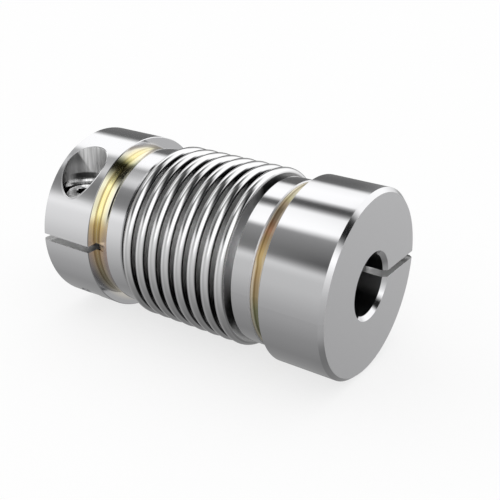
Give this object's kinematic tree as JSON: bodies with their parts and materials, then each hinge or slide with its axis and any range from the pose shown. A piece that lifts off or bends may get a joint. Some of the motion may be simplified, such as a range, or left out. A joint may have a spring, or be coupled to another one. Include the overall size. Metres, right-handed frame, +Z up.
{
  "type": "metal bellows coupling",
  "caption": "Slim shaft coupling: slit clamping hubs with socket-head screws, joined through stepped collars by a convoluted metal bellows.",
  "frame": {"origin": "middle of the coupling, on the axis of both bores", "axes": "+X along the coupling's axis from the left hub to the right hub; +Z up, the way both clamp screws' heads face; the left hub's slit opens towards -Y and the right hub's towards +Y"},
  "size_m": [0.072, 0.04, 0.04],
  "materials": {
    "hub_steel": "fine turned and polished, straw to brown heat tint in the welded groove",
    "collar_steel": "fine turned and polished, straw to brown heat tint on the welded flank",
    "bellows_steel": "bright formed stainless steel",
    "screw_steel": "plain bright"
  },
  "bodies": {
    "left_end": {"left_hub": "hub_steel", "left_collar": "collar_steel"},
    "bellows_body": {"bellows": "bellows_steel"},
    "right_end": {"right_hub": "hub_steel", "right_collar": "collar_steel"},
    "left_screw": {"left_clamp_screw": "screw_steel"},
    "right_screw": {"right_clamp_screw": "screw_steel"}
  },
  "joints": [
    {"name": "axial_give", "type": "slide", "parent": "left_end", "child": "bellows_body", "axis": [1, 0, 0], "range_m": [-0.0005, 0.0005], "stiffness_N_per_m": 30000, "deforming": ["bellows"]},
    {"name": "bend_give", "type": "hinge", "parent": "bellows_body", "child": "right_end", "pos_m": [0, 0, 0], "axis": [0, 0, 1], "range_deg": [-1.5, 1.5], "stiffness_Nm_per_rad": 5, "deforming": ["bellows"]},
    {"name": "left_screw_turn", "type": "hinge", "parent": "left_end", "child": "left_screw", "pos_m": [-0.029, -0.0124, 0], "axis": [0, 0, 1], "range_deg": [0, 360]},
    {"name": "right_screw_turn", "type": "hinge", "parent": "right_end", "child": "right_screw", "pos_m": [0.029, 0.0124, 0], "axis": [0, 0, 1], "range_deg": [0, 360]}
  ]
}
